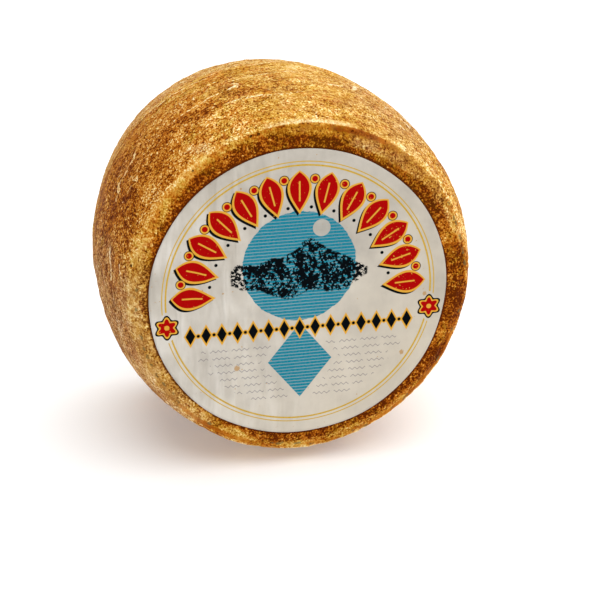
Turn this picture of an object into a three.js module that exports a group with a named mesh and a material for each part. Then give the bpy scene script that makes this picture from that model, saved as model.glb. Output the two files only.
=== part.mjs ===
// A whole aged pecorino: one drum of cheese with bulging sides, standing on its edge, and the
// round paper label that is glued to its front face. Millimetres, +Z up. The drum's axis runs
// along Y and the label faces -Y. The origin is on the floor, under the middle of the drum.
// The drum is widest nearer to its front, as a cheese that has sagged in its mould is.
import * as THREE from 'three';
import { mergeVertices } from 'three/addons/utils/BufferGeometryUtils.js';

// Driving dimensions of the drum. Depths are distances from its widest plane, along its axis.
const wheelRadius = 100; // greatest radius, at the widest plane
const rimRadius = 90; // radius of the ridge between the side and each face
const frontRimDepth = 55; // depth of the front ridge
const backRimDepth = 69.6; // depth of the back ridge
const faceRadius = 83; // where the flat face ends and its bevel begins
const bevelDepth = 3.6; // how far each flat face stands out beyond its ridge
const sideFullness = 2.1; // power of the bulge: higher keeps the side full for longer
const rimRounding = 2.6; // how far the rounding of the ridge reaches to either side
const settledHeight = 1.2; // cheese pressed flat where the drum has stood on its edge

// The label: paper on the front face, with a film of glue that keeps the two apart.
const labelRadius = 78.4;
const labelThickness = 0.5;
const glueThickness = 0.3;
const labelRight = -1.5; // how far the label was stuck off the axis, seen from the front
const labelUp = -0.9;

// How finely the surfaces are divided.
const stepsAround = 96;
const stepsAlongHalf = 8;
const stepsRoundRim = 3;
const stepsDownBevel = 3;
const faceRings = [0.3, 0.6, 0.85]; // shares of the flat face's radius
const labelStepsAround = 72;

// Slow swells that a hand-turned wheel has. Each is a wave of so many crests round the wheel,
// slanted so many radians from one rim to the other, and so many millimetres high.
const swells = [
  { crests: 2, slant: 0.5, height: 0.3, start: 0.6 },
  { crests: 3, slant: -1.2, height: 0.25, start: 2.1 },
  { crests: 7, slant: 2.4, height: 0.15, start: 4.0 },
];
const rimWander = [
  { crests: 3, height: 0.9, start: 5.36 },
  { crests: 8, height: 0.25, start: 3.3 },
];

// A shallow channel that runs down the front bevel for part of its way round, beside the ridge.
const channel = {
  middleAngle: THREE.MathUtils.degToRad(24), // clockwise from the top, seen from the front
  halfLength: THREE.MathUtils.degToRad(17),
  radius: 86.6,
  halfWidth: 2.2,
  depth: 0.7,
};

const rindMaterial = new THREE.MeshStandardMaterial({
  color: 0xb98440,
  roughness: 0.6,
  metalness: 0,
});
const paperMaterial = new THREE.MeshStandardMaterial({
  color: 0xc8c0b6,
  roughness: 0.55,
  metalness: 0,
});

// Radius of the bulging side at a depth, on the half whose ridge lies at rimDepth.
function sideRadius(depth, rimDepth) {
  const share = depth / rimDepth;
  return wheelRadius - (wheelRadius - rimRadius) * share ** sideFullness;
}

// Outline of one half, as radius and depth: from the axis along the flat face, down the bevel,
// round the ridge and along the side as far as the widest plane.
function halfOutline(rimDepth) {
  const faceDepth = rimDepth + bevelDepth;
  const corner = new THREE.Vector2(rimRadius, rimDepth);
  const bevelStart = new THREE.Vector2(faceRadius, faceDepth);
  const downBevel = bevelStart.clone().sub(corner).setLength(rimRounding);
  const roundStart = corner.clone().add(downBevel);
  const sideStart = rimDepth - rimRounding;
  const roundEnd = new THREE.Vector2(sideRadius(sideStart, rimDepth), sideStart);
  const bevel = new THREE.LineCurve(bevelStart, roundStart);
  const round = new THREE.QuadraticBezierCurve(roundStart, corner, roundEnd);
  const side = Array.from({ length: stepsAlongHalf }, (_, i) => {
    const depth = sideStart * (1 - (i + 1) / stepsAlongHalf);
    return new THREE.Vector2(sideRadius(depth, rimDepth), depth);
  });
  return [
    new THREE.Vector2(0, faceDepth),
    ...faceRings.map((share) => new THREE.Vector2(faceRadius * share, faceDepth)),
    ...bevel.getPoints(stepsDownBevel),
    ...round.getPoints(stepsRoundRim).slice(1),
    ...side,
  ];
}

// The whole outline, from the front face's middle to the back face's. The front is at -Y.
function wheelOutline() {
  const front = halfOutline(frontRimDepth).map((p) => new THREE.Vector2(p.x, -p.y));
  const back = halfOutline(backRimDepth).slice(0, -1).reverse();
  return [...front, ...back];
}

// Sum of a list of waves at an angle round the wheel. across runs from -1 to 1 between the rims.
function waves(list, angle, across) {
  return list.reduce((sum, wave) => {
    const phase = wave.crests * angle + (wave.slant ?? 0) * across + wave.start;
    return sum + wave.height * Math.cos(phase);
  }, 0);
}

// Depth of the channel at a place on the front bevel, fading out at its ends and its sides.
function channelDepth(radius, angle, onFront) {
  const along = (angle - channel.middleAngle) / channel.halfLength;
  const over = (radius - channel.radius) / channel.halfWidth;
  if (!onFront || Math.abs(along) > 1 || Math.abs(over) > 1) {
    return 0;
  }
  return channel.depth * (1 - along ** 2) * (1 - over ** 2) ** 2;
}

// Moves each point of the turned drum by the swells, the wander of its ridges and the channel,
// and flattens it where it stands. What lies under the label and its twin at the back stays flat.
function makeUneven(geometry) {
  const position = geometry.getAttribute('position');
  const point = new THREE.Vector3();
  for (let i = 0; i < position.count; i += 1) {
    point.fromBufferAttribute(position, i);
    const radius = Math.hypot(point.x, point.z);
    const angle = Math.atan2(point.x, point.z);
    const outer = THREE.MathUtils.smoothstep(radius, faceRadius - 1, rimRadius);
    const across = point.y / (point.y < 0 ? frontRimDepth : backRimDepth);
    const towardsRim = THREE.MathUtils.smoothstep(Math.abs(across), 0.7, 1) * outer;
    const grown = radius + outer * waves(swells, angle, across);
    const wander = towardsRim * waves(rimWander, angle + Math.sign(across), 0);
    const sunk = channelDepth(radius, angle, point.y < 0);
    if (radius > 0) {
      point.x *= grown / radius;
      point.z *= grown / radius;
    }
    point.y += Math.sign(across) * (wander - sunk);
    point.z = Math.max(point.z, settledHeight - wheelRadius);
    position.setXYZ(i, point.x, point.y, point.z);
  }
  return geometry;
}

// Keeps only the places of the points and joins those that meet, so that the surface is closed.
function closed(geometry) {
  geometry.deleteAttribute('normal');
  geometry.deleteAttribute('uv');
  const joined = mergeVertices(geometry);
  joined.computeVertexNormals();
  return joined;
}

function makeCheese() {
  const turned = new THREE.LatheGeometry(wheelOutline(), stepsAround);
  const cheese = new THREE.Mesh(closed(makeUneven(turned)), rindMaterial);
  cheese.name = 'cheese';
  return cheese;
}

function makeLabel() {
  const back = -(frontRimDepth + bevelDepth + glueThickness);
  const front = back - labelThickness;
  const outline = [
    new THREE.Vector2(0, front),
    new THREE.Vector2(labelRadius, front),
    new THREE.Vector2(labelRadius, back),
    new THREE.Vector2(0, back),
  ];
  const turned = new THREE.LatheGeometry(outline, labelStepsAround);
  const label = new THREE.Mesh(closed(turned), paperMaterial);
  label.name = 'label';
  label.position.set(labelRight, 0, labelUp);
  return label;
}

// The drum stands on its flattened edge. It is brought forward until the origin lies under the
// middle of the whole, from the label's front to the back face.
const frontReach = frontRimDepth + bevelDepth + glueThickness + labelThickness;
const backReach = backRimDepth + bevelDepth;
const pecorino = new THREE.Group();
pecorino.add(makeCheese(), makeLabel());
pecorino.position.set(0, (frontReach - backReach) / 2, wheelRadius - settledHeight);

export default pecorino;
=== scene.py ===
from math import cos, pi, radians, sin
from types import SimpleNamespace

import bpy
import numpy as np
from mathutils import Matrix, Vector


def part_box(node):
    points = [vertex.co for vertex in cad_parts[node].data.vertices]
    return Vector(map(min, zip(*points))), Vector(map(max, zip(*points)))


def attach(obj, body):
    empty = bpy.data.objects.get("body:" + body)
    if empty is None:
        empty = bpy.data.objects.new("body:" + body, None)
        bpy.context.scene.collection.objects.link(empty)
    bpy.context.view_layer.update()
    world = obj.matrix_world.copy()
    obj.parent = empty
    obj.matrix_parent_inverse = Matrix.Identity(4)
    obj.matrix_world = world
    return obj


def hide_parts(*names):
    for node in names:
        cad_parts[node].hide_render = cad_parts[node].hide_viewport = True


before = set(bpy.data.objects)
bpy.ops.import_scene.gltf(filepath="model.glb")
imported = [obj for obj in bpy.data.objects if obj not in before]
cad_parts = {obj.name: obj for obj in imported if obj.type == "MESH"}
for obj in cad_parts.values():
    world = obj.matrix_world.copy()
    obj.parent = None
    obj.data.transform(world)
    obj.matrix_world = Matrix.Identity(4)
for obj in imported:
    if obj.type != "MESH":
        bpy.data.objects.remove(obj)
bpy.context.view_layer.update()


# ---- The drum of cheese ----
# A whole pecorino, pressed in a round mould, turned by hand and aged for months, so its side
# bulges, most of all nearer to the front, and its two ridges wander a little. It is one closed
# skin, an outline carried round the axis, under an oiled natural rind.

# Sizes are in mm, and offsets are measured from the widest plane, towards the front.

MM = 0.001
wheel_radius = 100.0
rim_radius = 90.0
front_rim_depth = 55.0
back_rim_depth = 69.6
face_radius = 83.0
bevel_depth = 3.6
face_offset = front_rim_depth + bevel_depth
back_offset = -(back_rim_depth + bevel_depth)
side_fullness = 2.1
rim_rounding = 2.6
settled_height = 1.2

# Slow swells of the whole drum, and the wander of its ridges. Each wave has so many crests round
# the drum, slants so many radians from rim to rim, is so many mm high, and starts at an angle.
swells = [(2, 0.5, 0.3, 0.6), (3, -1.2, 0.25, 2.1), (7, 2.4, 0.15, 4.0)]
rim_wander = [(3, 0, 0.9, 5.36), (8, 0, 0.25, 3.3)]

# A shallow channel that runs down the front bevel for part of its way round, beside the ridge.
channel_turn = radians(24)
channel_half_turn = radians(17)
channel_radius = 86.6
channel_half_width = 2.2
channel_depth = 0.7

cheese_low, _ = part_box("cheese")
widest_y = cheese_low[1] / MM + face_offset
axle_height = wheel_radius - settled_height

label_low, label_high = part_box("label")
label_radius = (label_high[0] - label_low[0]) / 2 / MM
label_x = (label_high[0] + label_low[0]) / 2 / MM
label_z = (label_high[2] + label_low[2]) / 2 / MM
covered_radius = 74.0        # the rind lies hidden under the label inside this radius

steps_around = 512
rows_under_label = 9
rows_beside_label = 9
rows_on_bevel = 8
rows_round_rim = 6
rows_on_side = 92
rows_on_back = 36


def side_radius(offset):
    """Radius of the bulging side: the full one less a power of the distance from the widest plane."""
    share = np.abs(offset) / np.where(np.asarray(offset) > 0, front_rim_depth, back_rim_depth)
    return wheel_radius - (wheel_radius - rim_radius) * share ** side_fullness


def between(start, end, rows):
    """Evenly spaced points on the line from start up to, but without, end."""
    share = np.arange(rows)[:, None] / rows
    return np.array(start) + (np.array(end) - np.array(start)) * share


def rim_curve(side):
    """Quadratic curve from the foot of a bevel, round its ridge, to the start of the side.
    The front has side 1 and the back has side -1."""
    depth = front_rim_depth if side > 0 else back_rim_depth
    up_bevel = np.array([face_radius - rim_radius, bevel_depth])
    corner = np.array([rim_radius, depth])
    first = corner + up_bevel * rim_rounding / np.linalg.norm(up_bevel)
    last = np.array([side_radius(side * (depth - rim_rounding)), depth - rim_rounding])
    share = np.arange(rows_round_rim)[:, None] / rows_round_rim
    curve = (1 - share) ** 2 * first + 2 * share * (1 - share) * corner + share ** 2 * last
    return curve * (1, side)


def drum_outline():
    """Radius and offset of each row, from beside the front face's middle to beside the back's."""
    front_rim, back_rim = rim_curve(1), rim_curve(-1)[::-1]
    side_offset = np.linspace(front_rim_depth - rim_rounding, rim_rounding - back_rim_depth, rows_on_side)
    innermost = (covered_radius / rows_under_label, face_offset)
    under_edge = (covered_radius, face_offset)
    bevel_start = (face_radius, face_offset)
    return np.vstack([
        between(innermost, under_edge, rows_under_label),
        between(under_edge, bevel_start, rows_beside_label),
        between(bevel_start, front_rim[0], rows_on_bevel),
        front_rim,
        np.stack([side_radius(side_offset), side_offset], 1),
        back_rim,
        between(back_rim[-1], (face_radius, back_offset), rows_on_bevel)[1:],
        between((face_radius, back_offset), (face_radius / rows_on_back / 2, back_offset), rows_on_back),
    ])


def smooth(value, low, high):
    """0 at low and beyond it, 1 at high and beyond it, and an S-shaped cubic between them."""
    share = np.clip((value - low) / (high - low), 0, 1)
    return share * share * (3 - 2 * share)


def waves(crests_and_heights, angle, across):
    """Sum of cosines of the angle, each slanted from one rim to the other."""
    return sum(height * np.cos(crests * angle + slant * across + start)
               for crests, slant, height, start in crests_and_heights)


def lumps(points, size, seed):
    """Random smooth field with a spread of 1: many plane waves, about size mm long, in seeded
    random directions and phases, added up."""
    count = 60
    chance = np.random.default_rng(seed)
    direction = chance.normal(size=(count, 3))
    direction /= np.linalg.norm(direction, axis=1, keepdims=True)
    length = size * chance.uniform(0.7, 1.5, count)
    start = chance.uniform(0, 2 * pi, count)
    phase = points @ (2 * pi * direction / length[:, None]).T + start
    return np.cos(phase).sum(axis=-1) * (2 / count) ** 0.5


outline = drum_outline()
row_radius, row_offset = outline[:, :1], outline[:, 1:]
angle = -pi + 2 * pi * np.arange(steps_around)[None] / steps_around    # clockwise from the top
turn_here = np.degrees(angle)
row_step = np.linalg.norm(np.diff(outline, axis=0), axis=1)
row_length = outline[0, 0] + np.concatenate([[0], np.cumsum(row_step)])  # mm from the front's middle
tangent = np.gradient(outline, axis=0)
tangent /= np.linalg.norm(tangent, axis=1, keepdims=True)

across = -row_offset / np.where(row_offset > 0, front_rim_depth, back_rim_depth)
bare = smooth(row_radius, face_radius - 1, rim_radius)
near_rim = smooth(np.abs(across), 0.7, 1.0) * bare
wander = waves(rim_wander, angle + np.sign(across), 0)
channel_along = (angle - channel_turn) / channel_half_turn
channel_over = (row_radius - channel_radius) / channel_half_width
channel = (channel_depth * np.clip(1 - channel_along ** 2, 0, 1)
           * np.clip(1 - channel_over ** 2, 0, 1) ** 2 * (row_offset > 0))

grown = row_radius + bare * waves(swells, angle, across)
depth = row_offset + np.sign(row_offset) * (near_rim * wander - channel)
base = np.stack([grown * np.sin(angle), -depth, grown * np.cos(angle)], -1)

# The skin's own relief, in mm: broad lumps, a granular surface, faint lines that run round the
# side where the cloth pressed it, and a rougher, pitted ring beside the label.
beside_label = np.hypot(base[..., 0] - label_x, base[..., 2] - (label_z - axle_height)) - label_radius
beside_label = np.where(base[..., 1] < 0, beside_label, label_radius)
rind_shown = smooth(beside_label, 0.2, 3.0)
on_face = smooth(row_radius * np.ones_like(angle), rim_radius - 2.5, rim_radius - 4.5)
cloth_lines = lumps(base * (0.2, 1.0, 0.2), 3.6, 13) * (1 - on_face)
pits = np.clip(lumps(base, 4.0, 16) - 0.3, 0, 2) * on_face
relief = (0.10 * lumps(base, 44, 14) + 0.08 * lumps(base, 14, 15) + 0.08 * lumps(base, 6.0, 12)
          + 0.06 * lumps(base, 3.2, 11) + 0.06 * cloth_lines - 0.16 * pits)

# Marks on the skin. Each place is a turn, in degrees clockwise from the top as seen from the
# front, and a length in mm from the front ridge towards the back (less than 0 on the face).
ridge_length = float(np.interp(-front_rim_depth, -outline[:, 1], row_length))
back_ridge_length = float(np.interp(back_rim_depth, -outline[:, 1], row_length))
from_ridge = row_length[:, None] - ridge_length
near_ridge = np.minimum(from_ridge, back_ridge_length - row_length[:, None])
place = np.stack(np.broadcast_arrays(angle * wheel_radius, from_ridge), -1)

# Patches and stretches are laid out on slightly warped places, so that their edges wander.
warped_turn = turn_here + 3.0 * lumps(base, 24, 41)
warped_length = from_ridge + 3.0 * lumps(base, 20, 42) * smooth(from_ridge, 2, 12)


def turned(turns, turn):
    """Degrees from one turn to others, the short way round."""
    return (turns - turn + 180) % 360 - 180


def beside_path(path):
    """Distance in mm of every skin point from a bent line through the path's places."""
    corners = [np.array([radians(turn) * wheel_radius, length]) for turn, length in path]
    nearest = np.full(place.shape[:2], 1e6)
    for start, end in zip(corners, corners[1:]):
        reach = end - start
        share = np.clip(((place - start) @ reach) / (reach @ reach), 0, 1)
        nearest = np.minimum(nearest, np.linalg.norm(place - start - share[..., None] * reach, axis=-1))
    return nearest


def marked(paths, width):
    """1 along each path, falling to 0 at its width, and less beyond: a cone over each line."""
    mark = np.zeros(place.shape[:2])
    for path in paths:
        mark = np.maximum(mark, 1 - beside_path(path) / width)
    return mark


def patch(turn, length, half_turn, half_length):
    """Soft round patch, 1 in its middle, that ends half_turn degrees and half_length mm away."""
    far = ((turned(warped_turn, turn) / half_turn) ** 2
           + ((warped_length - length) / half_length) ** 2)
    return smooth(far, 1.0, 0.0)


def stretch(turn, half_turn):
    """1 near a turn and 0 further than half_turn degrees from it, at any length."""
    return smooth(np.abs(turned(warped_turn, turn)), half_turn, half_turn * 0.4)


def most(*fields):
    """The greatest of several fields, at every place."""
    return np.maximum.reduce(np.broadcast_arrays(*fields))


# Pale scratches and rubbed lines: the first ones are placed, from the left over the top, and
# more are strewn over the rest of the side.
broad_scars = [
    [(-64.5, 39.5), (-62, 41), (-61, 47), (-57, 46), (-54, 49), (-51.5, 47), (-51, 51)],
    [(-54.3, 28), (-55.5, 33)],
    [(-16.5, 47), (-13.5, 50), (-14, 54)],
    [(-86, 22), (-82, 22.5), (-77, 26)],
    [(22.5, 46), (25, 58)],
]
thin_scars = [
    [(-67, 30), (-60, 31), (-57, 30)],
    [(-27, 53), (-26.5, 57)],
    [(-31, 58), (-31, 61.5)],
    [(-23, 33), (-14, 31), (-9, 30.5), (-5, 28.5), (0, 28), (4, 30)],
    [(-83, 9.5), (-77, 13)],
    [(-106, 20), (-98, 19), (-92, 18.5)],
    [(5.5, 2), (6, 8)],
    [(-10, 61), (-4, 60.5), (5, 62)],
    [(33, 40), (35, 46)],
]
strewn_scars = 56
chance = np.random.default_rng(31)
for number in range(strewn_scars):
    turn, length = chance.uniform(25, 245), chance.uniform(4, 118)
    bend_turn, bend_length = chance.uniform(1.0, 3.5), chance.uniform(-3.0, 3.0)
    path = [(turn, length), (turn + bend_turn, length + bend_length),
            (turn + bend_turn * chance.uniform(1.2, 2.4), length + bend_length * chance.uniform(-1, 2))]
    path = [(turned(turn, 0), length) for turn, length in path]
    crosses_bottom = path[0][0] > path[-1][0]
    if not crosses_bottom:
        (broad_scars if number % 3 == 0 else thin_scars).append(path)
scar = np.maximum(marked(broad_scars, 2.8), marked(thin_scars, 1.5) * 0.9)

# A broken row of small moulds along the front bevel, and dark pinholes.
mould_turns = [-131, -127, -123, -119, -114, -110.5, -107, -103, -92, -87.5, -85, 61, 66.5, 69, 74, 79, 84]
mould_turns += list(chance.uniform(100, 220, 16))
moulds = []
for turn in mould_turns:
    turn = turned(turn, 0)
    length = -3.6 + 1.8 * smooth(turn, -100, 60) + chance.uniform(-0.6, 0.6)
    moulds.append([(turn, length), (turn + chance.uniform(0.4, 1.6), length + chance.uniform(-0.3, 0.3))])
mould = marked(moulds, 2.0)
hole_places = [(-77.2, 0.9), (-17, -1.2), (-14.5, -1.6), (-39, -1.6), (-24.5, 3.5), (4, 23), (-43, 52)]
hole_places += [(chance.uniform(40, 180), chance.uniform(-6, 110)) for _ in range(14)]
hole_places += [(chance.uniform(-180, -100), chance.uniform(-6, 110)) for _ in range(8)]
hole = marked([[(turn, length), (turn + 0.4, length + 0.1)] for turn, length in hole_places], 1.5)

relief = (relief + 0.12 * np.clip(scar, 0, 0.6) - 0.35 * np.clip(hole, 0, 0.8)) * rind_shown
radius_growth, offset_growth = tangent[:, :1], tangent[:, 1:]
outwards = np.stack([-offset_growth * np.sin(angle), -radius_growth * np.ones_like(angle),
                     -offset_growth * np.cos(angle)], -1)
skin = base + relief[..., None] * outwards

# The face is darkest in a ring beside the label, whose outer edge wanders towards the ridge and
# back. The ridge, and the bevel just inside it, are paler where they stand proud, partly from wear
# and partly as a painted highlight. Inside the ridge lies a smooth hollow, amber in colour and
# darkened with painted shade.
ring_edge = 7.0              # mm from the ridge
ring_wander = [(-3.8, -118, 60), (3.2, -27, 34), (0.6, 4, 12), (-2.6, 29, 20), (1.0, 50, 18),
               (4.8, 104, 40), (3.0, -166, 30)]      # mm towards the ridge, turn, half turn
front_ring = sum(amount * stretch(*where) for amount, *where in ring_wander) - ring_edge - from_ridge
back_ring_foot = (near_ridge + 19.0 + 3.0 * lumps(base, 44, 44)) * 0.22
back_ring = np.minimum(2.0 * lumps(base, 30, 43) - ring_edge - near_ridge, back_ring_foot)
dark_ring = np.where(row_offset > 0, front_ring, back_ring)
# Reach of the paler ridge and bevel: partly wear, partly a painted highlight.
worn = most(stretch(-3, 28), 0.25 * stretch(-48, 40), 0.25 * stretch(-110, 40), 0.4 * stretch(38, 30),
            0.8 * stretch(155, 45))
proud = most(stretch(-58, 46), 0.5 * stretch(-110, 40), 0.25 * stretch(25, 25), 0.6 * stretch(150, 50))
# Reach of the hollow inside the ridge: amber colour with painted shade.
amber = (0.25 + 0.75 * most(stretch(20, 18), 0.7 * stretch(130, 30), 0.7 * stretch(-150, 22))
         - 0.25 * stretch(-70, 50))

# The far part of the side is paler and smoother, partly as a painted sheen, beyond a crease painted
# on the smooth skin: a thin line of painted shade, with a painted highlight on its lip.
crease_length = 81.5 - 1.5 * np.sin(3 * angle) + 1.2 * lumps(base, 34, 45)
crease_shown = stretch(-28, 56) * smooth(lumps(base, 18, 46), -1.2, 0.6)
beyond = smooth(from_ridge - crease_length + 3.0 * lumps(base, 16, 47), -4, 16) * stretch(-30, 100)
crease = smooth(np.abs(from_ridge - crease_length), 2.0, 0.4) * crease_shown
lip_highlight = smooth(np.abs(from_ridge - crease_length - 3.0), 2.0, 0.4) * crease_shown

# How tan, how golden and how calm the skin is, place by place. The tan share is partly the rind's
# own colour and partly a painted sheen, on the left of the side and on its far part.
bloom = most(0.62 * stretch(-112, 42) * smooth(from_ridge, -30, 10), 0.35 * patch(-34, 9, 9, 10),
             0.5 * stretch(170, 50) * smooth(from_ridge, 20, 60), 0.45 * patch(36, 40, 26, 60),
             0.18 * patch(8, 45, 30, 60), 0.25 * patch(50, -4, 44, 8), 0.35 * patch(-106, -4, 44, 9),
             0.5 * patch(28, -6.5, 12, 4), 0.35 * beyond, 0.25 * smooth(near_ridge, -22, -30))
bloom = bloom - 0.15 * patch(-50, 36, 34, 50)
golden = (0.42 + 0.38 * stretch(22, 52) + 0.5 * stretch(-105, 36) * smooth(from_ridge, 4, 0)
          - 0.55 * patch(-54, 36, 40, 56) + 0.14 * lumps(base, 12, 18))
calm = most(patch(20, 45, 56, 80), 0.7 * patch(-108, 20, 32, 60), patch(160, 60, 40, 60),
            smooth(from_ridge, 60, 80) * smooth(near_ridge, -2, 4))

# How much lighter the skin is in each patch, then the patch's place and reach, as patch() has them.
left_shoulder = [
    (-0.10, -66, 14, 9, 17), (-0.10, -57, 24, 9, 18), (-0.15, -76, 30, 22, 40), (-0.15, -50, 36, 24, 30),
    (-0.10, -72, 60, 26, 36), (-0.10, -62, 72, 36, 26), (-0.10, -40, 38, 8, 12), (-0.18, -112, 28, 40, 52),
    (-0.13, -29, 34, 10, 9), (0.12, -31, 24, 4, 8), (0.08, -34, 8, 12, 12), (-0.04, -22, 34, 16, 24),
]
top_of_side = [
    (-0.08, -17, 38, 7, 7), (0.06, -12, 27, 18, 5), (-0.05, -10, 62, 16, 36), (-0.08, -6, 38, 12, 9),
    (0.10, 4, 66, 20, 30), (-0.08, 34, 26, 24, 40),
]
ridge_and_bevel = [
    (-0.22, -84, -10, 11, 6), (0.07, -106, -4, 36, 6), (0.07, -40, 1, 26, 4), (0.03, 0, 1.5, 24, 4),
    (-0.06, 0, -9, 26, 4), (-0.16, 12, -4, 34, 6), (0.12, 44, 2, 26, 4.5), (-0.10, 60, -4, 34, 6),
    (-0.10, 92, 1, 24, 6),
]
lower_side = [(0.06, 95, 60, 22, 30), (-0.10, 140, 30, 24, 30), (-0.10, -160, 70, 30, 34)]
tone = sum(amount * patch(*where)
           for amount, *where in left_shoulder + top_of_side + ridge_and_bevel + lower_side)

# Broad clouds cover the rest of the drum, where no patches are placed.
clouded = smooth(np.abs(turned(turn_here, 155)), 110, 90)
# The crease gets painted shade and its lip a painted highlight.
tone = tone - 0.30 * crease + 0.22 * lip_highlight + 0.04 * beyond + 0.09 * lumps(base, 26, 17) * clouded


def grid_faces(rows, columns):
    """Corners of the quads between neighbouring rows of a closed band, as vertex numbers."""
    row, column = np.meshgrid(np.arange(rows - 1), np.arange(columns), indexing="ij")
    here, after = row * columns + column, row * columns + (column + 1) % columns
    return np.stack([here, after, after + columns, here + columns], -1).reshape(-1, 4)


def fan_faces(columns, first, pole, at_end):
    """Corners of the triangles between a closed row and its pole, taken the other way round at
    the band's end, so that they face outwards there too."""
    column = np.arange(columns)
    here, after = first + column, first + (column + 1) % columns
    pair = [here, after] if at_end else [after, here]
    return np.stack([*pair, np.full(columns, pole)], -1)


def closed_drum(name, rows, front_pole, back_pole, height):
    """Mesh of a band of rows closed by a fan at each end, moved up to its height above the floor."""
    count, columns = rows.shape[:2]
    points = np.vstack([rows.reshape(-1, 3), front_pole, back_pole]) + (0, widest_y, height)
    points[:, 2] = np.maximum(points[:, 2], 0)      # pressed flat where it stands
    quads = grid_faces(count, columns)
    front = fan_faces(columns, 0, count * columns, False)
    back = fan_faces(columns, (count - 1) * columns, count * columns + 1, True)
    mesh = bpy.data.meshes.new(name)
    mesh.from_pydata((points * MM).tolist(), [], quads.tolist() + front.tolist() + back.tolist())
    mesh.polygons.foreach_set("use_smooth", np.ones(len(mesh.polygons), bool))
    piece = bpy.data.objects.new(name, mesh)
    bpy.context.scene.collection.objects.link(piece)
    return piece


def store(mesh, name, field):
    """Keeps a field's number for each vertex on the mesh, the poles' last, for the material."""
    poles = [field[0].mean(), field[-1].mean()]
    values = np.concatenate([(field * np.ones_like(relief)).ravel(), poles])
    mesh.attributes.new(name, "FLOAT", "POINT").data.foreach_set("value", values.astype(np.float32))


front_pole = (0, -face_offset, 0)
back_pole = (0, -back_offset, 0)
wheel = closed_drum("cheese_wheel", skin, front_pole, back_pole, axle_height)
rind_fields = {
    "near_ridge": near_ridge, "turn": turn_here, "relief": relief, "tone": tone,
    "scar": scar, "mould": mould, "hole": hole, "bloom": bloom, "dark_ring": dark_ring,
    "worn": worn, "proud": proud, "amber": amber, "golden": golden, "calm": calm,
    "beside_label": beside_label,
}
for name, field in rind_fields.items():
    store(wheel.data, name, field)

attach(wheel, "root")
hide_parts("cheese")


# The rind is golden ochre, mottled with dark russet pores and pale worn grains. Its colour comes
# from three ramps, russet, yellow and tan, read by noise at several sizes, and the same noise
# raises its grain. Painted highlights along the ridge and the bevel, a painted sheen on the left
# and far parts of the side, and painted shade in a crease, in the hollow inside the ridge and
# beside the label's edge lie in the colour too.


class Wire:
    """An output socket in a material's node tree. Arithmetic on wires adds Math nodes to the tree."""

    def __init__(self, tree, socket=None):
        self.tree = tree
        self.socket = socket

    def node(self, kind, settings=None, inputs=None, output=0):
        """Adds a node of a type, makes its settings, then fills its sockets with values or wires."""
        made = self.tree.nodes.new(kind)
        for name, value in (settings or {}).items():
            if name == "stops":
                ramp = made.color_ramp.elements
                ramp[0].position, ramp[1].position = value[0][0], value[-1][0]
                ramp[0].color, ramp[1].color = (*value[0][1], 1), (*value[-1][1], 1)
                for place, colour in value[1:-1]:
                    ramp.new(place).color = (*colour, 1)
            else:
                setattr(made, name, value)
        for name, value in (inputs or {}).items():
            if isinstance(value, Wire):
                self.tree.links.new(value.socket, made.inputs[name])
            else:
                made.inputs[name].default_value = value
        return Wire(self.tree, made.outputs[output] if made.outputs else None)

    def maths(self, operation, *values):
        """Adds a Math node that works on values or wires."""
        return self.node("ShaderNodeMath", {"operation": operation}, dict(enumerate(values)))

    def __add__(self, other):
        return self.maths("ADD", self, other)

    def __sub__(self, other):
        return self.maths("SUBTRACT", self, other)

    def __rsub__(self, other):
        return self.maths("SUBTRACT", other, self)

    def __mul__(self, other):
        return self.maths("MULTIPLY", self, other)

    def __truediv__(self, other):
        return self.maths("DIVIDE", self, other)

    def __rtruediv__(self, other):
        return self.maths("DIVIDE", other, self)

    def __pow__(self, other):
        return self.maths("POWER", self, other)

    __radd__ = __add__
    __rmul__ = __mul__

    def within(self, low, high, kind="LINEAR"):
        """The share of the way from low to high, kept between 0 and 1."""
        settings = {"interpolation_type": kind, "clamp": True}
        return self.node("ShaderNodeMapRange", settings, {0: self, 1: low, 2: high, 3: 0.0, 4: 1.0})

    def eased(self, low, high):
        """As within, with both ends eased."""
        return self.within(low, high, "SMOOTHSTEP")

    def least(self, other):
        return self.maths("MINIMUM", self, other)

    def most(self, other):
        return self.maths("MAXIMUM", self, other)

    def size(self):
        return self.maths("ABSOLUTE", self)

    def sine(self):
        return self.maths("SINE", self)

    def cosine(self):
        return self.maths("COSINE", self)

    def nearest(self, pitch, first, last):
        """The multiple of a pitch that lies nearest, from the first one to the last one."""
        return self.maths("ROUND", self / pitch).most(first).least(last) * pitch

    def ramp(self, stops):
        """The colour that a ramp of places and colours gives for this value."""
        return self.node("ShaderNodeValToRGB", {"stops": stops}, {0: self})

    def mixed(self, other, share):
        """This colour, with a share of another one mixed in, which is a wire or comes from paint."""
        colour = other if isinstance(other, Wire) else (*other, 1)
        return self.node("ShaderNodeMix", {"data_type": "RGBA"}, {0: share, 6: self, 7: colour}, 2)

    def stretched(self, scale, shift=(0, 0, 0)):
        """These coordinates, scaled and shifted."""
        return self.node("ShaderNodeMapping", {}, {0: self, 1: shift, 3: scale})

    def moved(self, *shift):
        """These coordinates, shifted, for another draw of the same noise."""
        return self.stretched((1, 1, 1), shift)

    def noise(self, size, detail=2.0, roughness=0.5, distortion=0.0):
        """Noise in features of a size, at these coordinates: about 0.5, give or take."""
        inputs = {"Vector": self, "Scale": 1 / size, "Detail": detail, "Roughness": roughness,
                  "Distortion": distortion}
        return self.node("ShaderNodeTexNoise", {"noise_dimensions": "3D"}, inputs)


def new_material(name):
    """An empty material, and a wire from which its nodes are made."""
    material = bpy.data.materials.new(name)
    material.use_nodes = True
    material.node_tree.nodes.clear()
    return material, Wire(material.node_tree)


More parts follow.
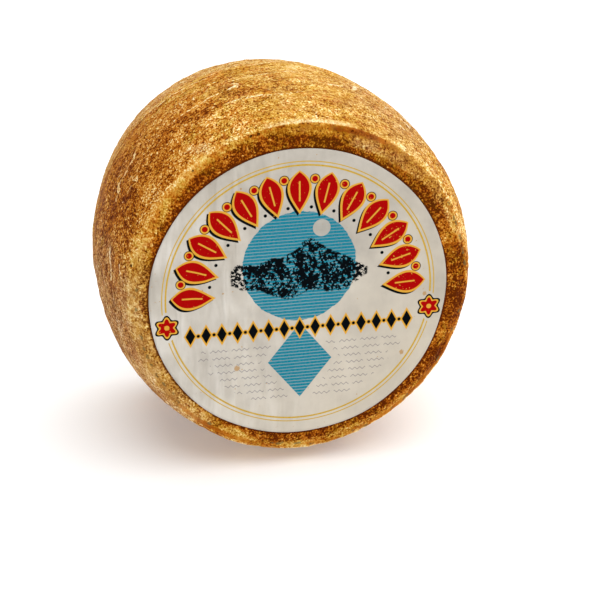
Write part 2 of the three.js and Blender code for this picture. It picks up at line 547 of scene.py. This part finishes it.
def finish_material(tree, constants, wires):
    """Adds the Principled shader with its constants and wires, and joins it to the output."""
    shader = tree.node("ShaderNodeBsdfPrincipled", {}, {**constants, **wires})
    tree.node("ShaderNodeOutputMaterial", {}, {"Surface": shader})


def place_in_mm(tree):
    """Object coordinates, in mm."""
    return tree.node("ShaderNodeTexCoord", {}, {}, "Object").stretched((1 / MM,) * 3)


def bumps(tree, strength, height_mm, height):
    """A normal that raises the surface by a height wire, so many mm for each 1 of it."""
    return tree.node("ShaderNodeBump", {},
                     {"Strength": strength, "Distance": height_mm * MM, "Height": height})


def paint(red, green, blue):
    """The light that a colour given in display values of 0 to 255 stands for."""
    display = np.array([red, green, blue]) / 255
    light = np.where(display <= 0.04045, display / 12.92, ((display + 0.055) / 1.055) ** 2.4)
    return tuple(float(part) for part in light)


russet_tones = [
    (0.0, paint(90, 34, 0)),
    (0.16, paint(138, 66, 4)),
    (0.36, paint(176, 98, 18)),
    (0.54, paint(202, 132, 42)),
    (0.72, paint(222, 164, 76)),
    (0.88, paint(238, 196, 118)),
    (1.0, paint(252, 228, 170)),
]
yellow_tones = [
    (0.0, paint(86, 40, 0)),
    (0.16, paint(132, 74, 4)),
    (0.36, paint(172, 112, 22)),
    (0.54, paint(200, 147, 52)),
    (0.72, paint(222, 178, 84)),
    (0.88, paint(240, 208, 124)),
    (1.0, paint(252, 234, 170)),
]
tan_tones = [
    (0.0, paint(104, 62, 26)),
    (0.5, paint(192, 148, 100)),
    (1.0, paint(242, 224, 192)),
]
mould_grey = paint(104, 90, 54)
hole_brown = paint(52, 26, 4)

# Long fine scratches along the side, each from one place to another, as turn and length.
scratches = [((-40, 44), (-26, 44.6)), ((-27, 44.2), (-17, 47.5)), ((12, 44), (21, 46)),
             ((118, 32), (129, 38))]


def scratch_line(turn, along, start, end):
    """1 on a straight line between two places on the skin, fading out at its ends."""
    slope = (end[1] - start[1]) / (end[0] - start[0])
    off_line = (along - (turn - start[0]) * slope - start[1]).size()
    fade = 4                 # degrees, at each end
    inside = turn.eased(start[0], start[0] + fade) * (1 - turn.eased(end[0] - fade, end[0]))
    return (1 - off_line.eased(0.2, 1.0)) * inside


def rind_noises(place):
    """Noise at every size that shows in the skin, from single grains to clouds a finger wide."""
    along_the_side = (0.16, 1.0, 0.16)
    return SimpleNamespace(
        grit=place.noise(0.75, 0.0) - 0.5,
        grains=place.noise(1.15, 1.0, 0.6) - 0.5,
        mottle=place.noise(2.6, 2.0, 0.8) - 0.5,
        worms=0.12 - (place.moved(9, 9, 9).noise(2.0, 0.0) - 0.5).size(),
        clouds=place.noise(8.0, 2.0, 0.7) - 0.5,
        streaks=place.stretched(along_the_side).noise(3.4, 3.0, 0.7) - 0.5,
        hues=place.moved(0, 70, 0).noise(4.0, 3.0, 0.8) - 0.5,
        pales=place.moved(70, 0, 0).noise(6.0, 3.0, 0.75) - 0.5,
        blotches=place.stretched((0.5, 1.0, 0.5), (30, 0, 0)).noise(6.5, 3.0, 0.75).eased(0.52, 0.64),
        flecks=place.moved(3, 3, 3).noise(1.7, 1.0).eased(0.66, 0.71),
        specks=place.moved(5, 5, 5).noise(1.8, 1.0),
        liveliness=place.stretched((0.5, 1.0, 0.5), (50, 0, 0)).noise(13.0, 2.0, 0.6) * 1.3 + 0.35,
    )


def rind_zones(field, noise):
    """How much of each kind of skin there is: fields of the mesh, with edges made ragged by noise."""
    along, mottle, clouds, grains = field.near_ridge, noise.mottle, noise.clouds, noise.grains
    in_ring = (field.dark_ring + clouds * 6 + mottle * 5).eased(-0.9, 1.3)
    # Bands along the ridge and the bevel inside it, paler partly from wear and partly as a painted
    # highlight.
    ridge_wear_and_highlight = (along + mottle * 0.5).eased(-0.5, 0.4) * (1 - (along + mottle * 2.4).eased(0.4, 4.6))
    bevel_wear_and_highlight = (along + mottle * 3).eased(-6.0, -2.0) * (1 - (along + mottle * 3).eased(0.2, 3.4))
    # The hollow inside the ridge: amber colour and painted shade.
    hollow_amber_and_shade = (along + mottle).eased(-3.9, -2.6) * (1 - (along + mottle * 0.8).eased(-0.6, 0.1))
    lines = [scratch_line(field.turn + mottle, along + clouds * 2, *ends) for ends in scratches]
    scratched = lines[0]
    for line in lines[1:]:
        scratched = scratched.most(line)
    return SimpleNamespace(
        in_ring=in_ring,
        on_bevel=(1 - in_ring) * (1 - along.eased(-1.6, 0.2)),
        ridge_wear_and_highlight=ridge_wear_and_highlight * field.worn,
        bevel_wear_and_highlight=bevel_wear_and_highlight * field.proud,
        hollow_amber_and_shade=hollow_amber_and_shade * field.amber,
        # A thin band of painted shade beside the label's raised edge.
        label_edge_shade=1 - (field.beside_label + mottle * 1.6).eased(0.1, 1.5),
        specks=(noise.specks + clouds * 0.25 - field.amber * 0.05).eased(0.65, 0.71),
        blotches=noise.blotches * (1 - field.calm * 0.7),
        pale_scar=(field.scar + mottle * 1.3 + grains * 0.5).eased(0.52, 0.74),
        scratched=scratched * (mottle + grains + 0.5).eased(0.15, 0.42),
        mouldy=(field.mould + mottle * 2.0).eased(0.50, 0.85),
        pinhole=(field.hole + grains * 0.5).eased(0.45, 0.7),
    )


def rind_colour(field, noise, zone, fine):
    """The skin's colour: how light it is picks a tone from each ramp, and how yellow and how pale
    it is mixes the three. Moulds and pinholes lie over them."""
    # This lightness also holds painted highlights on the ridge and bevel, and painted shade in the hollow
    # and beside the label.
    shade = (0.50 + fine + noise.clouds * 0.65 * (1 - field.calm * 0.2)
             + noise.streaks * (0.4 + field.calm * 0.2) + field.relief * 0.15 + field.tone
             - zone.in_ring * 0.37 - zone.label_edge_shade * 0.5 + zone.ridge_wear_and_highlight * 0.30
             + zone.bevel_wear_and_highlight * 0.12 - zone.on_bevel * 0.04 - zone.hollow_amber_and_shade * 0.14
             - zone.specks * (0.24 + zone.on_bevel * 0.10) + zone.pale_scar * 0.42
             + field.bloom * 0.06 - zone.blotches * 0.13 * (1 - zone.in_ring)
             + noise.flecks * zone.in_ring * 0.30 + zone.scratched * 0.50)
    yellowness = (noise.hues + noise.grains * 0.2 - zone.blotches * 0.08 + field.golden * 0.3
                  + zone.on_bevel * 0.08 + zone.ridge_wear_and_highlight * 0.08 - zone.in_ring * 0.06
                  - zone.hollow_amber_and_shade * 0.3)
    paleness = (field.bloom + zone.ridge_wear_and_highlight * field.worn * 0.5
                + (zone.pale_scar + zone.scratched) * 0.35
                + noise.pales * 1.4 * (0.5 + field.bloom) - zone.in_ring * 0.2)
    colour = shade.ramp(russet_tones).mixed(shade.ramp(yellow_tones), yellowness.eased(0.04, 0.26))
    colour = colour.mixed(shade.ramp(tan_tones), paleness.within(0.0, 1.0) * 0.8)
    colour = colour.mixed(mould_grey, zone.mouldy * 0.72)
    return colour.mixed(hole_brown, zone.pinhole * 0.9)


def rind_material():
    material, tree = new_material("aged_rind")
    field = SimpleNamespace(**{
        name: tree.node("ShaderNodeAttribute", {"attribute_name": name}, {}, "Fac") for name in rind_fields
    })
    noise = rind_noises(place_in_mm(tree))
    zone = rind_zones(field, noise)
    evenness = (1 - field.calm * 0.30 - zone.on_bevel * 0.25 - zone.hollow_amber_and_shade * 0.7 - zone.in_ring * 0.22
                - zone.ridge_wear_and_highlight * 0.4 - zone.bevel_wear_and_highlight * 0.3)
    fine = ((noise.grit * 1.1 + noise.grains * 1.35 + noise.mottle * 1.35 + noise.worms * 0.9)
            * noise.liveliness * evenness)
    height = (noise.grains * 0.6 + noise.mottle + noise.worms * 0.5 + noise.streaks * 0.3
              + zone.pale_scar * 0.2 - zone.pinhole)
    finish_material(tree, {"Specular IOR Level": 0.02}, {
        "Base Color": rind_colour(field, noise, zone, fine),
        "Roughness": 0.6 - fine * 0.2,
        "Normal": bumps(tree, 0.9, 0.9, height),
    })
    return material


wheel.data.materials.append(rind_material())


# ---- The label ----
# One round sheet of coated paper, glued to the front face and gone slightly wavy with damp.
# The sheet is a closed skin: a front, a back and the cut edge between them.

paper_thickness = 0.14
paper_gap = 0.12
label_rings = 64
label_steps = 256


def paper_rows():
    """Points of the front and the back of the sheet, as rows from the middle out and back in.
    The front's height is a sum of broad waves and of upright folds on the left."""
    share = (np.arange(label_rings) + 1) / label_rings
    turn = 2 * pi * np.arange(label_steps)[None] / label_steps
    rim = label_radius + 0.12 * np.cos(5 * turn) + 0.1 * np.cos(11 * turn + 2)
    radius = share[:, None] * rim
    x, z = radius * np.sin(turn), radius * np.cos(turn)
    flat = np.stack([x, 0 * x, z], -1)
    cockle = 0.05 * lumps(flat, 30, 21) + 0.02 * lumps(flat, 12, 22)
    folded = smooth(-x, 10, 30) * smooth(30 - np.abs(z), 0, 18)
    broad_folds = 0.20 * np.cos(x * 0.50 - 0.16 * z + 1.6 * np.sin(z / 15))
    narrow_folds = 0.05 * np.cos(x * 1.1 + 0.3 * z)
    height = 0.20 + np.clip(cockle + folded * (broad_folds + narrow_folds), -0.19, 0.4)
    front = np.stack([x, -height - paper_thickness, z], -1)
    back = np.stack([x, -height, z], -1)
    return np.vstack([front, back[::-1]])


sheet_rows = paper_rows() + (label_x, -(face_offset + paper_gap), label_z - axle_height)
sheet = closed_drum("face_label", sheet_rows,
                    sheet_rows[0].mean(axis=0), sheet_rows[-1].mean(axis=0), axle_height)

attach(sheet, "root")
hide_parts("label")


# The print is a made-up ornament: an arch of red petals edged with gold, a blue-green medallion of
# wooded hills, a row of black lozenges and wavy lines. Shapes are distances in mm outside an edge.
outer_ring = 0.915 * label_radius
outer_ring_half_width = 0.28
inner_ring = 0.890 * label_radius
inner_ring_half_width = 0.45
rosette_right = 0.885 * label_radius
rosette_down = 0.16 * label_radius
rosette_radius = 4.0
rosette_gap = 3.6
petal_pitch = radians(14.6)
petal_ring = 0.715 * label_radius
petal_half_length = 10.2
petal_half_width = 4.9
medallion_radius = 0.38 * label_radius
medallion_height = 0.20 * label_radius
sun_right = 11.5
sun_rise = 20.0
sun_radius = 4.6
pendant_height = -0.47 * label_radius
pendant_half_width = 17.0
pendant_half_height = 21.0
lozenge_height = -0.235 * label_radius
lozenge_pitch = 8.2
lozenge_half_width = 2.5
lozenge_half_height = 4.6
dot_radius = 0.85
line_pitch = 4.1
first_line_down = 28.0
line_half_width = 0.20
lines_half_reach = 52.0

petal_gold = paint(216, 160, 56)
ring_gold = paint(196, 156, 6)
petal_red = paint(164, 0, 0)
print_black = paint(0, 4, 8)
print_grey = paint(98, 92, 104)
sea_blue = paint(2, 124, 146)
oil_stain = paint(202, 186, 156)
ochre_drip = paint(176, 128, 52)
paper_tones = [
    (0.0, paint(170, 162, 150)),
    (0.5, paint(197, 190, 179)),
    (1.0, paint(222, 217, 209)),
]


def ink(distance, blur=0.13):
    """How much ink there is at a distance outside a shape's edge: all of it inside, none
    outside, and a soft step between them, a blur wide to either side of the edge."""
    return 1 - distance.eased(-blur, blur)


def from_middle(x, z):
    """Distance of a point from the middle, by Pythagoras."""
    return (x * x + z * z) ** 0.5


def turn_of(x, z):
    """Angle of a point clockwise from straight up."""
    return x.maths("ARCTAN2", x, z)


def petals(x, z):
    """Distance outside the nearest petal, and how far aside and outwards in it a point lies.
    A petal's width is a parabola over its length, made broader towards its outer end."""
    turn = turn_of(x, z)
    off_axis = turn - turn.nearest(petal_pitch, -6, 6)
    radius = from_middle(x, z)
    aside = (radius * off_axis.sine()).size()
    outwards = (radius * off_axis.cosine() - petal_ring) / petal_half_length
    outwards = outwards.most(-1.5).least(1.5)
    width = petal_half_width * (1 - outwards * outwards) * (1 + outwards * 0.35)
    return (aside - width) * 0.85, aside, outwards


def studs(x, z, ring, radius):
    """Distance outside the nearest of a ring of dots that lie halfway between the petals."""
    turn = turn_of(x, z) + petal_pitch / 2
    off_axis = turn - turn.nearest(petal_pitch, -5, 6)
    out = from_middle(x, z)
    return from_middle(out * off_axis.sine(), out * off_axis.cosine() - ring) - radius


def rosette(at):
    """Distance outside the six petals of the rosette at each end of the arch, and from its middle."""
    x, z = at.x.size() - rosette_right, at.z + rosette_down
    scallops = (turn_of(x, z) * 6).cosine() * 0.9
    return from_middle(x, z) - rosette_radius - scallops, from_middle(x, z)


def lozenge(x, z, half_width, half_height):
    """Distance outside a lozenge, close enough near its edge."""
    return (x.size() / half_width + z.size() / half_height - 1) * (0.8 * half_width)


def pendant(at):
    """Distance outside the large lozenge that hangs under the row."""
    return lozenge(at.x, at.z - pendant_height, pendant_half_width, pendant_half_height)


def bare_paper(at):
    """Warm grey and cloudy, with painted shade and light along the creases, most of all on the
    left, and painted shade that darkens it towards the upper right.
    """
    tone = (at.clouds * 1.2 + at.creases * (0.2 + at.on_left * 0.7) + at.fibres * 0.10
            # painted shade, darker towards the upper right
            + 0.46 - at.x * 0.0010 - at.z * 0.0020)
    return tone.ramp(paper_tones)


def with_oil(colour, at):
    """Paper yellowed by the cheese's oil, a little more to the lower right."""
    return colour.mixed(oil_stain, (at.clouds * 0.9 + (at.x - at.z) * 0.0035 + 0.1).within(0.0, 1.0) * 0.7)


def with_rings(colour, at):
    """Two thin gold rings near the edge, broken off around the rosettes."""
    outer = ink((at.radius - outer_ring).size() - outer_ring_half_width)
    inner = ink((at.radius - inner_ring).size() - inner_ring_half_width)
    beside_rosettes = 1 - ink(rosette(at)[0] - rosette_gap)
    return colour.mixed(ring_gold, outer.most(inner) * beside_rosettes * (0.9 + at.wear * 0.6))


def with_medallion(colour, paper, at):
    """A blue-green disc and pendant under fine pale lines, a sun, and speckled black hills."""
    x, z, up = at.x, at.z, medallion_height
    ragged = (at.place.noise(5.0, 3.0, 0.7) - 0.5) * 9
    stripes = (z * 3.6).sine().eased(0.55, 0.85)
    disc = from_middle(x, z - up) - medallion_radius + ragged * 0.25
    sea = ink(disc).most(ink(pendant(at))) * (1 - stripes * 0.36) * (0.97 - at.wear * 0.3)
    sun = from_middle(x - sun_right, z - up - sun_rise) - sun_radius

    range_half_width = 39.0
    drawn_half_width = 36.0
    taper = (1 - (x / range_half_width) ** 2).most(0.0) ** 0.7
    tops = ((x * 0.13 + 0.6).sine() * 4.5 + (x * 0.31).sine() * 1.6 + 14.0) * taper + up - 5.0
    feet = ((x * 0.21).sine() * 2.0 - 12.0) * taper + up - 4.0
    hills = (ink(z + ragged * 0.5 - tops, 0.4) * ink(feet - z + ragged * 0.6, 0.6)
             * ink(x.size() - drawn_half_width + ragged * 0.4, 0.5))
    leaves = (at.place.noise(1.7, 2.0, 0.75) + at.place.noise(7.0, 1.0) * 0.5 - 0.25).eased(0.40, 0.48)
    return colour.mixed(sea_blue, sea).mixed(paper, ink(sun) * 0.9).mixed(print_black, hills * leaves)


def with_lozenges(colour, at):
    """A row of black lozenges edged with gold, with dots between them."""
    row_x, row_z = at.x - at.x.nearest(lozenge_pitch, -7, 7), at.z - lozenge_height
    tall = lozenge(row_x, row_z, lozenge_half_width, lozenge_half_height)
    between_x = at.x + lozenge_pitch / 2
    dot = from_middle(between_x - between_x.nearest(lozenge_pitch, -6, 7), row_z) - dot_radius
    colour = colour.mixed(petal_gold, ink(tall - 0.75).most(ink(dot - 0.6)))
    return colour.mixed(print_black, ink(tall).most(ink(dot)))


def with_wavy_lines(colour, at):
    """Short broken wavy lines on both sides of the pendant, of ragged length."""
    height = at.z + first_line_down
    line_height = height.nearest(line_pitch, -7, 0)
    wave = (at.x * 2.3 + line_height).sine() * 0.5
    breaks = (at.x * 0.55 + line_height * 1.7).sine().eased(-0.86, -0.80)
    inside = (ink(at.radius - 0.80 * label_radius)
              * ink(at.x.size() - lines_half_reach - (line_height * 0.9).sine() * 5))
    lines = ink((height - line_height - wave).size() - line_half_width, 0.2)
    return colour.mixed(print_grey, lines * breaks * inside * (1 - ink(pendant(at) - 3.5)) * 0.75)


def with_arch(colour, at):
    """The arch: black shadows to the lower left, then gold edges, then red with a gold vein."""
    shadow_left = 1.15
    shadow_down = 1.0
    vein_half_width = 0.42
    eye_radius = 1.3
    shadow, _, _ = petals(at.x + shadow_left, at.z + shadow_down)
    petal, aside, outwards = petals(at.x, at.z)
    stud = studs(at.x, at.z, petal_ring + 6.6, 1.5)
    small_stud = studs(at.x, at.z, petal_ring - 8.4, 0.9)
    flower, from_eye = rosette(at)
    black = ink(shadow - 0.95).most(ink(stud - 1.2)).most(ink(flower - 2.0)).most(ink(small_stud))
    gold = ink(petal - 1.05).most(ink(stud - 0.8)).most(ink(flower - 1.0))
    vein = ink(aside - vein_half_width) * ink(outwards.size() - 0.52, 0.03)
    eye = ink(from_eye - eye_radius)
    red = ink(petal).most(ink(stud)).most(ink(flower)) * (1 - vein) * (1 - eye)
    flecks = 1 - (at.place.noise(0.9, 1.0) + at.clouds * 0.35).eased(0.73, 0.78)
    return colour.mixed(print_black, black).mixed(petal_gold, gold).mixed(petal_red, red * flecks)


def with_dirt(colour, at):
    """Ochre drips and dirt picked up in the ageing room: strewn specks and four larger drips."""
    specks = (at.place.noise(2.2, 2.0) + (at.radius / label_radius) * 0.05
              - at.clouds * 0.1).eased(0.745, 0.79)
    drips = from_middle(at.x + 33.5, at.z + 38.5) - 1.5
    for right, up, radius in ((67.0, -5.0, 1.1), (55.0, -37.5, 1.2), (-40.0, 4.0, 0.5)):
        drips = drips.least(from_middle(at.x - right, at.z - up) - radius)
    return colour.mixed(ochre_drip, specks.most(ink(drips + at.wear * 2.4, 0.3)) * 0.7)


def paper_material():
    material, tree = new_material("printed_paper")
    place = place_in_mm(tree)
    x = tree.node("ShaderNodeSeparateXYZ", {}, {0: place}, "X") - label_x
    z = tree.node("ShaderNodeSeparateXYZ", {}, {0: place}, "Z") - label_z
    at = SimpleNamespace(
        place=place, x=x, z=z, radius=from_middle(x, z), on_left=(0 - x).eased(-20.0, 40.0),
        fibres=place.noise(0.5, 2.0) - 0.5,
        wear=place.noise(1.1, 2.0, 0.7) - 0.5,
        clouds=place.noise(26.0, 4.0, 0.6) - 0.5,
        creases=place.stretched((1, 1, 0.22)).noise(6.5, 2.0, 0.55, 0.6) - 0.5,
    )
    paper = bare_paper(at)
    colour = with_rings(with_oil(paper, at), at)
    colour = with_medallion(colour, paper, at)
    colour = with_wavy_lines(with_lozenges(colour, at), at)
    colour = with_dirt(with_arch(colour, at), at)
    height = at.creases * (0.4 + at.on_left * 2.2) + at.clouds * 2.0 + at.fibres * 0.12
    finish_material(tree, {"Specular IOR Level": 0.03}, {
        "Base Color": colour,
        "Roughness": 0.5 + at.wear * 0.3,
        "Normal": bumps(tree, 0.6, 0.7, height),
    })
    return material


sheet.data.materials.append(paper_material())


# ---- The floor, the light and the camera ----
# A plain pale studio: an even floor that runs out of sight, soft light from a wide panel above,
# and a long lens that looks down a little from the left.

floor_reach = 12.0
floor_mesh = bpy.data.meshes.new("floor")
corners = [(-1, -1, 0), (1, -1, 0), (1, 1, 0), (-1, 1, 0)]
floor_mesh.from_pydata([(floor_reach * x, floor_reach * y, z) for x, y, z in corners], [], [(0, 1, 2, 3)])
floor = bpy.data.objects.new("floor", floor_mesh)
bpy.context.scene.collection.objects.link(floor)
floor_material, floor_tree = new_material("pale_floor")
finish_material(floor_tree, {"Base Color": (0.8, 0.8, 0.8, 1), "Roughness": 0.9,
                             "Emission Color": (1.0, 1.0, 1.0, 1), "Emission Strength": 0.22}, {})
floor_mesh.materials.append(floor_material)

world = bpy.data.worlds.new("studio")
world.use_nodes = True
world.node_tree.nodes["Background"].inputs["Color"].default_value = (1.0, 1.0, 1.0, 1)
world.node_tree.nodes["Background"].inputs["Strength"].default_value = 0.45
bpy.context.scene.world = world


def soft_light(name, place, target, spread, strength):
    """Even light from far away towards a target, as wide as a panel that spreads so many degrees."""
    light = bpy.data.lights.new(name, "SUN")
    light.angle = radians(spread)
    light.energy = strength
    lamp = bpy.data.objects.new(name, light)
    lamp.location = place
    lamp.rotation_euler = (Vector(target) - Vector(place)).to_track_quat("-Z", "Y").to_euler()
    bpy.context.scene.collection.objects.link(lamp)


soft_light("panel_above", (0.42, -0.08, 1.25), (0, 0, 0.1), 95, 3.3)

picture_width = 600           # pixels, as the lens below is measured in them
focal_pixels = 1838.1
camera_turn = radians(12.5)   # the camera stands this far to the left of the label's front
camera_rise = radians(22.08)  # and looks down by this much
camera_distance = 10.0        # in wheel radii, along its line of sight
wheel_right = -0.1146         # where the wheel's middle appears beside that line, in wheel radii
wheel_up = 0.2545

right = Vector((cos(camera_turn), -sin(camera_turn), 0))
ahead = Vector((sin(camera_turn) * cos(camera_rise), cos(camera_turn) * cos(camera_rise),
                -sin(camera_rise)))
upwards = right.cross(ahead)
wheel_middle = Vector((0, widest_y, axle_height))
to_wheel = wheel_right * right + wheel_up * upwards + camera_distance * ahead
camera_place = wheel_middle - wheel_radius * to_wheel

lens = bpy.data.cameras.new("camera")
lens.sensor_width = 36.0
lens.lens = lens.sensor_width * focal_pixels / picture_width
camera = bpy.data.objects.new("camera", lens)
facing = Matrix((right, upwards, -ahead)).transposed().to_4x4()
camera.matrix_world = Matrix.Translation(camera_place * MM) @ facing
bpy.context.scene.collection.objects.link(camera)
bpy.context.scene.camera = camera
bpy.context.scene.view_settings.view_transform = "Standard"
